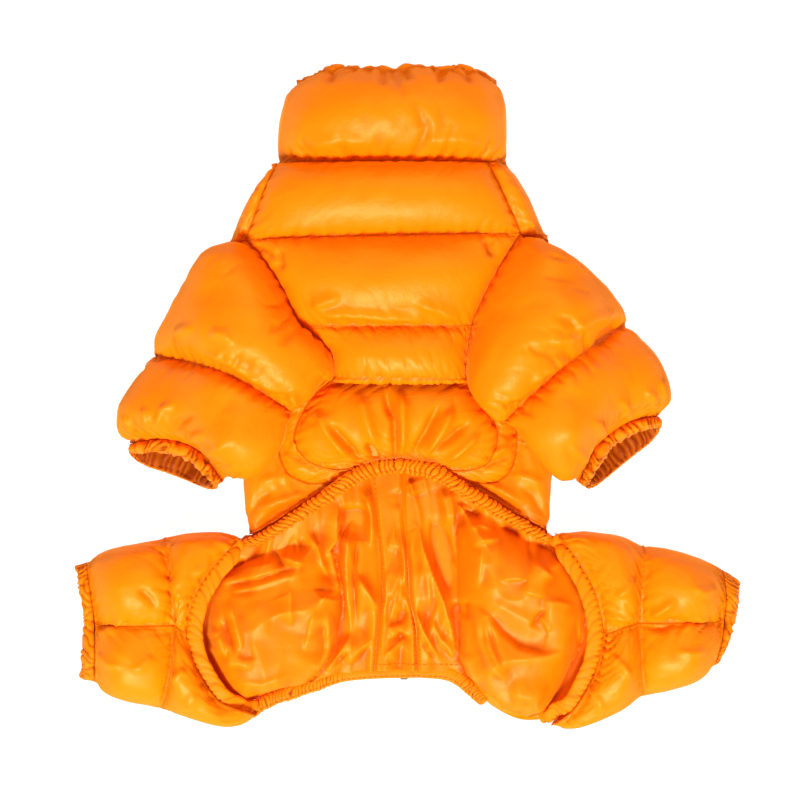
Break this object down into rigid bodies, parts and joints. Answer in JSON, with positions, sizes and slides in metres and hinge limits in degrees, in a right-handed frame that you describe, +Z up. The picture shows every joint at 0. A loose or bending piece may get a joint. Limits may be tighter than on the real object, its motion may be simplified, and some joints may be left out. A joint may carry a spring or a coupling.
{
  "type": "dog jumpsuit",
  "caption": "Padded small-dog jumpsuit lying flat on its back, with funnel collar, elastic cuffs, four short legs, an arched belly opening and a back zip with a hinged pull.",
  "frame": {"origin": "centre of the overall box at the underside, on the surface the garment lies on", "axes": "+Z up, out of the belly side; +Y towards the collar; +X to the right when the garment is seen from above with its collar away from the viewer"},
  "size_m": [0.4008, 0.396, 0.0644],
  "materials": {
    "shell": "padded orange nylon, smooth, with a soft shine",
    "shell_shaded": "the same padded orange nylon in the garment's shaded middle",
    "elastic_edge": "orange nylon gathered on elastic",
    "lining": "thin shiny orange lining with sharp creases",
    "zip_tape": "orange woven zip tape with moulded teeth",
    "zip_metal": "dark plated zip metal"
  },
  "bodies": {
    "garment": {"back_left": "shell", "back_right": "shell", "belly_elastic": "elastic_edge", "belly_panel": "shell_shaded", "collar": "shell", "front_panel": "shell", "leg_binding_left": "elastic_edge", "leg_binding_right": "elastic_edge", "leg_cuff_left": "elastic_edge", "leg_cuff_right": "elastic_edge", "leg_fore_left": "shell", "leg_fore_right": "shell", "leg_rear_left": "shell", "leg_rear_right": "shell", "rump_left": "shell", "rump_lining_left": "lining", "rump_lining_right": "lining", "rump_right": "shell", "side_strip_left": "shell_shaded", "side_strip_right": "shell_shaded", "sleeve_cuff_left": "elastic_edge", "sleeve_cuff_right": "elastic_edge", "sleeve_left": "shell", "sleeve_right": "shell", "tail_hem": "elastic_edge", "zip_chain": "zip_tape", "zip_facing": "lining", "zip_slider": "zip_metal"},
    "pull": {"zip_pull": "zip_metal"}
  },
  "joints": [
    {"name": "zip_pull_hinge", "type": "hinge", "parent": "garment", "child": "pull", "pos_m": [-0.002, -0.1552, 0.0016], "axis": [1, 0, 0], "range_deg": [0, 150]}
  ]
}
